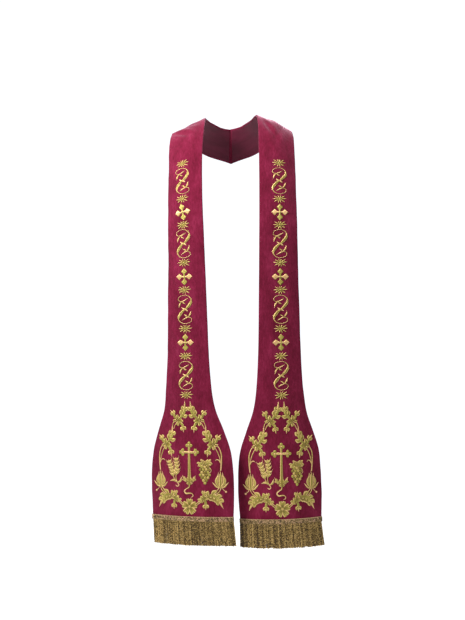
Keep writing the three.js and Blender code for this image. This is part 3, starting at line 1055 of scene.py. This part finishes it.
def fringe(side, material):
    """Twisted strands that hang close together from the heading, in three layers."""
    build = Build()
    draw = np.random.default_rng(side["seed"] + 40)
    half = width_at(HEM) / 2 + OVERHANG - STRAND_RADIUS
    inner_swing, outer_swing = SWING[side["name"]]
    around = np.linspace(0, 2 * math.pi, STRAND_SIDES, endpoint=False)
    for number, layer in enumerate(LAYERS):
        across = np.arange(-half + STRAND_PITCH * number / len(LAYERS), half, STRAND_PITCH)
        clump = np.cumsum(draw.random(len(across)) < 0.16)
        centres = np.array([across[clump == c].mean() for c in range(clump.max() + 1) if (clump == c).any()])
        clump = np.searchsorted(np.unique(clump), clump)
        pull = draw.uniform(0.02, 0.09, len(centres))[clump]
        drift = draw.normal(0, 0.2, len(centres))[clump]
        push = draw.normal(0, 0.22, len(centres))[clump]
        for k, x in enumerate(across):
            length = FRINGE_REACH - draw.uniform(0.2, 3.4)
            # random tone for each strand, with painted shade: each layer further back is darker
            strand_tone_and_layer_shade = np.clip(draw.normal(0.55 - 0.12 * number, 0.18), 0.05, 0.95)
            down = np.linspace(-1.6, length, int(length / STRAND_STEP))
            part = np.clip(down / FRINGE_REACH, 0, 1)
            share = x / (width_at(HEM) / 2)
            swing = inner_swing + (outer_swing - inner_swing) * (share + 1) / 2
            wave = 0.3 * np.sin(down / draw.uniform(7, 13) + draw.uniform(0, 6.28))
            gather = (centres[clump[k]] - x) * pull[k] + drift[k] + wave
            sideways = (side["hand"] * gather + swing) * part
            base = on_cloth(side, HEM, x, 0.0)
            level = unit(face_normal(side, np.array(HEM), np.array(np.clip(share, -1, 1))) * (1, 1, 0))
            beside = np.array([-level[1], level[0], 0.0])
            forward = layer + draw.uniform(-0.2, 0.2) + push[k] * part
            centre = base + level * forward[:, None]
            centre = centre + np.array([1.0, 0, 0]) * sideways[:, None] - np.array([0, 0, 1.0]) * down[:, None]
            end = np.sqrt(np.clip((length - down) / 1.6, 0.02, 1))
            phase = 2 * math.pi * down / (TWIST_LENGTH * draw.uniform(0.7, 1.4)) + draw.uniform(0, 6.28)
            ply = np.cos(2 * (around - phase[:, None]))
            ring = (STRAND_RADIUS * draw.uniform(0.92, 1.06) * end)[:, None] * (1 + PLY_DEPTH * ply)
            turn = np.cos(around)[:, None] * beside + np.sin(around)[:, None] * level
            uv = np.stack(np.broadcast_arrays(down[:, None], x + around * STRAND_RADIUS / 3), axis=-1)
            # painted highlight and shade: lighter on each ply's crest and darker in its lay, plus random tone
            tone = strand_tone_and_layer_shade + 0.3 * ply + draw.normal(0, 0.2, (len(down), 1))
            build.grid(centre[:, None] + ring[..., None] * turn, uv, tone, around=True)
    return build.make(f"fringe_strands_{side['name']}", [material])


# --------------------------------------------------------------------------------------------------------
# Studio
# --------------------------------------------------------------------------------------------------------

CAMERA_AT = (0.0055, -3.0, -0.5106)
VIEW_HEIGHT_AT_ORIGIN = 1.711  # metres of the part seen from top to bottom, 3 m from the camera
SENSOR = 36.0
FLOOR_Z = -1.42


def camera():
    data = bpy.data.cameras.new("camera")
    data.sensor_width = SENSOR
    data.lens = SENSOR * -CAMERA_AT[1] / VIEW_HEIGHT_AT_ORIGIN
    obj = bpy.data.objects.new("camera", data)
    obj.location = CAMERA_AT
    obj.rotation_euler = (math.pi / 2, 0, 0)
    bpy.context.scene.collection.objects.link(obj)
    bpy.context.scene.camera = obj


FLOOR_FADES = (1.0, 2.3)  # metres from the middle: the floor melts into the white room
FLOOR_RADIUS = 2.4


def floor():
    """A round pale floor under the stole."""
    radius = np.linspace(0.01, FLOOR_RADIUS, 9)[:, None]
    angle = np.linspace(0, 2 * math.pi, 64, endpoint=False)[None]
    flat = np.stack([radius * np.cos(angle), radius * np.sin(angle)], axis=-1)
    points = np.concatenate([flat, np.full((*flat.shape[:2], 1), FLOOR_Z)], axis=-1)
    build = Build()
    build.grid(points / MM, flat, around=True)
    n = Nodes("pale_paper")
    uv = n.add("ShaderNodeUVMap", uv_map="flat").outputs[0]
    away = n.add("ShaderNodeVectorMath", {0: uv}, operation="LENGTH").outputs["Value"]
    near, far = (reach / FLOOR_RADIUS for reach in FLOOR_FADES)
    shown = n.ramp(n.math("DIVIDE", away, FLOOR_RADIUS), (near, (1, 1, 1)), (far, (0, 0, 0)))
    grain = n.noise(uv, 3.0, 2)
    n.set(Base_Color=n.ramp(grain, (0.3, (0.88, 0.88, 0.885)), (0.7, (0.9, 0.9, 0.905))))
    n.set(Roughness=0.9, Alpha=shown)
    build.make("floor", [n.material], flip=True)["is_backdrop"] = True


def softbox(name, place, aim, size, power, colour=(1, 1, 1)):
    data = bpy.data.lights.new(name, "AREA")
    data.shape = "RECTANGLE"
    data.size, data.size_y = size
    data.energy = power
    data.color = colour
    obj = bpy.data.objects.new(name, data)
    obj.location = place
    away = np.array(place, float) - np.array(aim, float)
    flat_length = math.hypot(away[0], away[1])
    obj.rotation_euler = (math.atan2(flat_length, away[2]), 0, math.atan2(away[1], away[0]) + math.pi / 2)
    bpy.context.scene.collection.objects.link(obj)


ROOM_LIGHT = 0.22
ROOM_SEEN = 1.15  # the room itself looks white


def lights():
    softbox("key", (-1.35, -1.0, 1.05), (0, 0, 0.15), (0.8, 0.8), 104)
    softbox("fill", (1.8, -2.2, 1.3), (0, 0, 0.25), (1.6, 1.6), 33)
    softbox("back", (0.6, 2.2, 1.3), (0, 0, -0.3), (1.6, 1.6), 46)
    softbox("floor", (0, 1.2, -0.3), (0, 1.21, -1.4), (3.4, 2.2), 22)
    world = bpy.data.worlds.new("room")
    world.use_nodes = True
    tree = world.node_tree
    background = tree.nodes["Background"]
    background.inputs["Color"].default_value = (0.92, 0.95, 1.0, 1)
    seen = tree.nodes.new("ShaderNodeLightPath").outputs["Is Camera Ray"]
    strength = tree.nodes.new("ShaderNodeMath")
    strength.operation = "MULTIPLY_ADD"
    strength.inputs[1].default_value = ROOM_SEEN - ROOM_LIGHT
    strength.inputs[2].default_value = ROOM_LIGHT
    tree.links.new(seen, strength.inputs[0])
    tree.links.new(strength.outputs[0], background.inputs["Strength"])
    bpy.context.scene.world = world
    bpy.context.scene.view_settings.view_transform = "Standard"


# --------------------------------------------------------------------------------------------------------
# The stole
# --------------------------------------------------------------------------------------------------------


def hang_on(obj, slot, *nodes):
    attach(obj, "root")
    if nodes:
        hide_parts(*nodes)
    return obj


def plain(box):
    """A box's two corners as plain lists of numbers."""
    return [[float(value) for value in corner] for corner in box]


def main():
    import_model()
    cad_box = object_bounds()
    velvet, satin = velvet_material(), lining_material()
    thread = thread_material("gold_thread", GOLD_TONES, 0.45, 0.25, 0.40)
    braid = thread_material("gold_braid", BRAID_TONES, 0.5, 0.3, 0.42)
    bullion = bullion_material()
    for side, band_shift, panel_shift, tilt in ((LEFT, 3.0, 2.0, 0), (RIGHT, 4.5, 2.0, 10)):
        name = side["name"]
        cloth = hang_on(velvet_half(side, [velvet, satin]), "velvet", f"half_{name}")
        band = hang_on(band_embroidery(side, thread, band_shift, tilt), "gold_braid")
        panel = hang_on(panel_embroidery(side, thread, panel_shift), "gold_braid")
        plait = hang_on(heading_braid(side, braid), "gold_braid", f"fringe_heading_{name}")
        tape = hang_on(heading_tape(side, braid), "gold_braid", f"fringe_heading_{name}")
        strands = hang_on(fringe(side, bullion), "gold_fringe", f"fringe_{name}")
    camera()
    floor()
    lights()
    model_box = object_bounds()
    {"cad": plain(cad_box), "model": plain(model_box)}


main()
